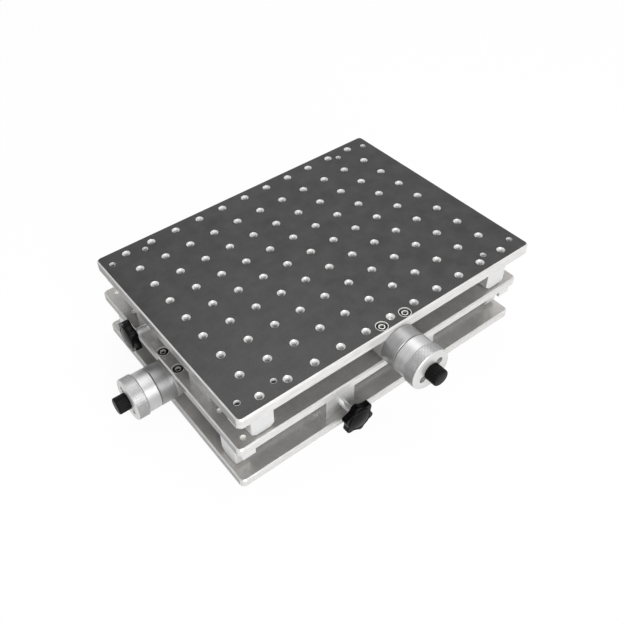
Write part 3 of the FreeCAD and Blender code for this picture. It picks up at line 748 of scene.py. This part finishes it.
class TABLE_OT_lead_screws(bpy.types.Operator):
    """Makes the lead screws with their rolled threads"""
    bl_idname = "slidetable.lead_screws"
    bl_label = "Lead screws"

    def execute(self, context):
        pitch, major, minor = 3.0, 6.0, 4.9
        seat, neck, neck_length = 5.0, 4.0, 8
        for slide in SLIDES:
            node = slide.node("lead_screw")
            place, length = axis_frame(node, slide.outward)
            bearings = axis_frame(slide.node("ball_bearings"), slide.outward)[0]
            thread_end = (place.inverted() @ bearings.translation).x / MM - 0.2
            steps = int(thread_end / pitch * 4)
            profile = [(0, 0), (0, minor)]
            profile += [(step * thread_end / steps, major) for step in range(1, steps)]
            profile += [(thread_end, major), (thread_end, seat), (length - neck_length, seat),
                        (length - neck_length, neck), (length, neck), (length, 0)]

            def thread(distance, radius, angle):
                if radius < major or distance >= thread_end:
                    return 0
                turn = (distance / pitch - angle / (2 * math.pi)) % 1
                ridge = min(1, max(0, 2.2 - abs(turn - 0.5) * 6))
                return (minor - major) * (1 - ridge)

            turned_piece(slide.node("rolled_lead_screw"), profile, place, slide.node("handwheel"),
                         finish("lead screw steel"), (node,), 48, thread, 50)
        return {"FINISHED"}


class TABLE_OT_handwheels(bpy.types.Operator):
    """Makes the housings, drums, knurled wheels and end knobs"""
    bl_idname = "slidetable.handwheels"
    bl_label = "Handwheels"

    def execute(self, context):
        look = context.scene.slide_wheels
        # The settings are metres in single precision, so they are rounded to whole microns
        pitch, depth = round(look.knurl_pitch / MM, 3), round(look.knurl_depth / MM, 3)
        for slide in SLIDES:
            body = slide.node("handwheel")
            self.housing(slide)
            self.drum(slide, body)
            self.wheel(slide, body, pitch, depth)
            self.knob(slide, body, look.flutes)
        return {"FINISHED"}

    def housing(self, slide):
        """A round housing whose tail, under the plate, is cut flat at the top."""
        node = slide.node("screw_housing")
        place, length = axis_frame(node, slide.outward)
        low, high = node_box(node)
        place.translation.z = low.z + BODY_RADIUS * MM
        radius = (high.x - low.x if slide.prefix == "y" else high.y - low.y) / 2 / MM
        top = (high.z - low.z) / MM - radius
        tail = length / 2
        flat = math.asin(top / radius)
        outline = []
        steps = 48
        for step in range(steps + 1):
            angle = flat - (math.pi + 2 * flat) * step / steps
            outline.append((radius * math.cos(angle), radius * math.sin(angle)))
        count = len(outline)
        verts = [place @ (Vector((distance, side, rise)) * MM) for distance in (0, tail)
                 for side, rise in outline]
        faces = [tuple(range(count)), tuple(range(2 * count - 1, count - 1, -1))]
        faces += [(step, step + count, (step + 1) % count + count, (step + 1) % count)
                  for step in range(count)]
        block = outward_mesh("housing_tail", verts, faces)
        bore, bearing_seat, chamfer = 7, 11.03, 0.4
        drill = turned_mesh("housing_bore", [(-1, 0), (-1, bore), (tail + 1, bore), (tail + 1, 0)], place, 48)
        adopt(cut_holes(block, [drill]), slide.node("housing_tail"), slide.upper,
              finish("block aluminium"), (node,))
        profile = [(tail, bore), (tail, radius), (length - chamfer, radius), (length, radius - chamfer),
                   (length, bearing_seat), (tail, bearing_seat), (tail, bore)]
        turned_piece(slide.node("turned_housing_nose"), profile, place, slide.upper,
                     finish("housing aluminium"), (node,), 128)

    def drum(self, slide, body):
        """The plain drum, with the thin neck that runs in the bearings."""
        node = slide.node("handwheel_drum")
        place, length = axis_frame(node, slide.outward)
        radius, neck = BODY_RADIUS, 6.5
        start = length - 11.6
        profile = [(0, SPINDLE_BORE), (0, neck), (start, neck), (start, radius - 0.5), (start + 0.5, radius),
                   (length - 0.4, radius), (length, radius - 0.4), (length, SPINDLE_BORE), (0, SPINDLE_BORE)]
        turned_piece(slide.node("turned_drum"), profile, place, body, finish("drum aluminium"),
                     (node,), 128)

    def wheel(self, slide, body, pitch, depth):
        """The knurled wheel: its rim with the knurl, its plain back, and its face with two screw holes."""
        node = slide.node("knurled_wheel")
        place, length = axis_frame(node, slide.outward)
        radius, web = 18.8, 6.0
        around = round(2 * math.pi * radius / pitch)
        inner, outer = 0.7, length - 0.7
        rows = round((outer - inner) / pitch * 4)
        root = radius - depth - 0.02
        rim = [(inner, web), (inner, root)]
        rim += [(inner + (outer - inner) * step / rows, radius) for step in range(rows + 1)]
        rim += [(outer, root), (outer, web), (inner, web)]

        def knurl(distance, reach, angle):
            if reach < radius:
                return 0
            along = distance / pitch
            turn = angle * around / (2 * math.pi)
            first = abs((along + turn) % 1 - 0.5) * 2
            second = abs((along - turn) % 1 - 0.5) * 2
            # Two crossing sets of grooves, and the power rounds the crests between them
            return -depth * (1 - min(first, second)) ** 0.8

        hole, hole_start, hole_end = 3.5, -1.8, 5.0
        mouths = []
        for start, way in head_places(slide.node("wheel_screws"), lambda centre: -slide.outward)[0]:
            turn = way.to_track_quat("X", "Z").to_matrix().to_4x4()
            mouths.append(turned_mesh("mouth", [(hole_start, 0), (hole_start, hole), (hole_end, hole),
                                                (hole_end, 0)], Matrix.Translation(start) @ turn, 32))
        rim_mesh = cut_holes(turned_mesh("rim", rim, place, around * 4, knurl), mouths)
        adopt(rim_mesh, slide.node("knurled_rim"), body, finish("knurled aluminium"), (node,), 60)
        sides = [(0, SPINDLE_BORE), (0, radius - 1.0), (inner, radius - 0.25), (inner, SPINDLE_BORE),
                 (0, SPINDLE_BORE)]
        turned_piece(slide.node("wheel_back"), sides, place, body, finish("wheel face aluminium"),
                     (node,), 128)
        sides = [(outer, SPINDLE_BORE), (outer, radius - 0.25), (length - 0.2, radius - 0.8),
                 (length, radius - 1.1), (length, SPINDLE_BORE), (outer, SPINDLE_BORE)]
        face = cut_holes(turned_mesh("face", sides, place, 128), mouths)
        adopt(face, slide.node("wheel_face"), body, finish("wheel face aluminium"), (node,))

    def knob(self, slide, body, flutes):
        """The small fluted knob at the end of the spindle."""
        node = slide.node("end_knob")
        place, length = axis_frame(node, slide.outward)
        radius, flute_depth = 7.4, 0.45
        profile = [(0, 0), (0, radius - 0.6), (0.5, radius), (length - 1.0, radius),
                   (length - 0.4, radius - 0.35), (length, radius - 1.1), (length, 0)]

        def flute(distance, reach, angle):
            if reach < radius - 0.4:
                return 0
            return -flute_depth * (0.5 - 0.5 * math.cos(angle * flutes)) ** 2

        turned_piece(slide.node("fluted_end_knob"), profile, place, body,
                     finish("end knob nylon"), (node,), flutes * 10, flute)


class TABLE_OT_locks(bpy.types.Operator):
    """Makes the lock studs and star knobs"""
    bl_idname = "slidetable.locks"
    bl_label = "Slide locks"

    def execute(self, context):
        look = context.scene.slide_locks
        for slide in SLIDES:
            body = slide.node("lock_knob")
            self.stud(slide, body)
            self.knob(slide, body, look.lobes)
        return {"FINISHED"}

    def stud(self, slide, body):
        node = slide.node("lock_stud")
        place, length = axis_frame(node, slide.lock_outward)
        radius, chamfer = 3.0, 0.6
        profile = [(0, 0), (0, radius - chamfer), (chamfer, radius), (length - chamfer, radius),
                   (length, radius - chamfer), (length, 0)]
        turned_piece(slide.node("plated_stud"), profile, place, body, finish("stud steel"),
                     (node,), 64)

    def knob(self, slide, body, lobes):
        """A star with rounded lobes and a domed cap in its face."""
        node = slide.node("lock_star_knob")
        place = axis_frame(node, slide.lock_outward)[0]
        hub, outer, root = 1.5, 15.1, 12.0
        face = hub + 6.2
        back = [(0, 3.02), (0, 5.6), (0.4, 6.0), (hub, 6.0), (hub, outer - 0.6), (hub + 0.2, outer - 0.15)]
        lobe = [(hub + 0.6, outer), (face - 0.7, outer), (face - 0.3, outer - 0.1), (face, outer - 0.4)]
        rim = [(face, 11.3), (face + 0.6, 11.1), (face + 1.0, 10.7), (face + 1.2, 10.1), (face + 1.1, 9.7)]
        cap = [(face + 0.8, 9.5), (face + 1.3, 8.0), (face + 1.8, 5.0), (face + 2.1, 2.0), (face + 2.15, 0)]

        def star(distance, radius, angle):
            if radius < outer - 1:
                return 0
            # The power makes the lobes broad and the hollows between them narrow
            share = (1 + math.cos((angle - slide.knob_angle) * lobes)) / 2
            return -(outer - root) * (1 - share ** 1.43)

        turned_piece(slide.node("star_knob"), back + lobe + rim + cap, place, body,
                     finish("knob nylon"), (node,), 180, star, 40)


class TABLE_OT_stage(bpy.types.Operator):
    """Sets up the floor, the lights and the camera"""
    bl_idname = "slidetable.stage"
    bl_label = "Stage"

    def execute(self, context):
        look = context.scene.slide_stage
        scene = context.scene
        scene.view_settings.view_transform = "Standard"
        self.floor(look.floor_colour)
        self.world(scene, look.surround)
        self.light("key light", (-0.4, -1.35, 0.8), 1.0, look.key_power)
        self.light("overhead light", (0.4, 0.3, 1.6), 1.4, look.fill_power)
        self.camera(scene)
        return {"FINISHED"}

    def shown_rays(self, tree):
        """1 for the rays that show the background itself, in the picture, in metal or through glass."""
        path = add(tree, "ShaderNodeLightPath")
        first = add(tree, MATH, {"operation": "MAXIMUM"},
                    links={0: path.outputs["Is Camera Ray"], 1: path.outputs["Is Glossy Ray"]})
        return add(tree, MATH, {"operation": "MAXIMUM"},
                   links={0: first.outputs[0], 1: path.outputs["Is Transmission Ray"]}).outputs[0]

    def floor(self, colour):
        """White paper that keeps a soft shadow. It is clear from below, so that the underside shows."""
        half = 6.0
        low = -0.1 * MM
        glow = 0.94
        mesh = bpy.data.meshes.new("studio_floor")
        mesh.from_pydata([(-half, -half, low), (half, -half, low), (half, half, low), (-half, half, low)], [],
                         [(0, 1, 2, 3)])
        name = "studio paper"
        tree, shader = new_material(name, Base_Color=linear(colour), Roughness=0.9,
                                    Specular_IOR_Level=0.0)
        paper = add(tree, "ShaderNodeEmission", inputs={"Color": (1, 1, 1, 1), "Strength": 1.0})
        share = add(tree, MATH, {"operation": "MULTIPLY"}, {1: glow}, {0: self.shown_rays(tree)})
        blend = add(tree, "ShaderNodeMixShader", links={0: share.outputs[0], 1: shader.outputs[0],
                                                         2: paper.outputs[0]})
        under = add(tree, "ShaderNodeNewGeometry").outputs["Backfacing"]
        clear = add(tree, "ShaderNodeBsdfTransparent")
        one_sided = add(tree, "ShaderNodeMixShader", links={0: under, 1: blend.outputs[0],
                                                             2: clear.outputs[0]})
        link(tree, tree.nodes["Material Output"], {"Surface": one_sided.outputs[0]})
        mesh.materials.append(finish(name))
        floor = plain_object("studio_floor", mesh)

    def world(self, scene, strength):
        """An even white background that lights the object more softly than it shows."""
        world = bpy.data.worlds.new("studio surround")
        scene.world = world
        world.use_nodes = True
        tree = world.node_tree
        shown = add(tree, "ShaderNodeBackground", inputs={"Color": (1, 1, 1, 1), "Strength": 1.0})
        back = tree.nodes["Background"]
        back.inputs["Color"].default_value = (1, 1, 1, 1)
        back.inputs["Strength"].default_value = strength
        blend = add(tree, "ShaderNodeMixShader", links={0: self.shown_rays(tree), 1: back.outputs[0],
                                                        2: shown.outputs[0]})
        link(tree, tree.nodes["World Output"], {"Surface": blend.outputs[0]})

    def light(self, name, position, size, power):
        """A square area light that points at the middle of the object."""
        data = bpy.data.lights.new(name, "AREA")
        data.shape = "SQUARE"
        data.size = size
        data.energy = power
        lamp = plain_object(name, data)
        lamp.location = position
        aim = Vector((0, 0, 0.05)) - Vector(position)
        lamp.rotation_euler = aim.to_track_quat("-Z", "Y").to_euler()

    def camera(self, scene):
        """The camera that was solved from the holes and the outlines of the three plates."""
        data = bpy.data.cameras.new("camera")
        data.sensor_width = 36.0
        data.lens = 43.541
        data.shift_x = 0.04603
        data.shift_y = -0.02420
        camera = plain_object("camera", data)
        camera.location = (-0.29623, -0.39586, 0.51193)
        camera.rotation_euler = Euler((0.80137, 0.043145, -0.639719), "XYZ")
        scene.camera = camera


class TABLE_PT_panel(bpy.types.Panel):
    """Lists the steps and settings of the slide table"""
    bl_idname = "TABLE_PT_panel"
    bl_label = "Slide table"
    bl_space_type = "VIEW_3D"
    bl_region_type = "UI"
    bl_category = "Slide table"

    def draw(self, context):
        for operator in OPERATORS:
            self.layout.operator(operator.bl_idname)
        for name, group in SETTINGS:
            settings = getattr(context.scene, name)
            for setting in group.__annotations__:
                self.layout.prop(settings, setting)


SETTINGS = (("slide_plates", TABLE_PG_plates), ("slide_wheels", TABLE_PG_wheels),
            ("slide_locks", TABLE_PG_locks), ("slide_stage", TABLE_PG_stage))
OPERATORS = (TABLE_OT_finishes, TABLE_OT_threads, TABLE_OT_guides, TABLE_OT_screws, TABLE_OT_lead_screws,
             TABLE_OT_handwheels, TABLE_OT_locks, TABLE_OT_stage)


def register():
    for name, group in SETTINGS:
        bpy.utils.register_class(group)
        setattr(bpy.types.Scene, name, bpy.props.PointerProperty(type=group))
    for operator in OPERATORS:
        bpy.utils.register_class(operator)
    bpy.utils.register_class(TABLE_PT_panel)


def unregister():
    bpy.utils.unregister_class(TABLE_PT_panel)
    for operator in reversed(OPERATORS):
        bpy.utils.unregister_class(operator)
    for name, group in reversed(SETTINGS):
        delattr(bpy.types.Scene, name)
        bpy.utils.unregister_class(group)


def corners(bounds):
    return [[float(value) for value in corner] for corner in bounds]


def main():
    register()
    bpy.ops.slidetable.finishes()
    bpy.ops.slidetable.threads()
    bpy.ops.slidetable.guides()
    bpy.ops.slidetable.screws()
    bpy.ops.slidetable.lead_screws()
    bpy.ops.slidetable.handwheels()
    bpy.ops.slidetable.locks()
    bpy.ops.slidetable.stage()


if __name__ == "__main__":
    main()
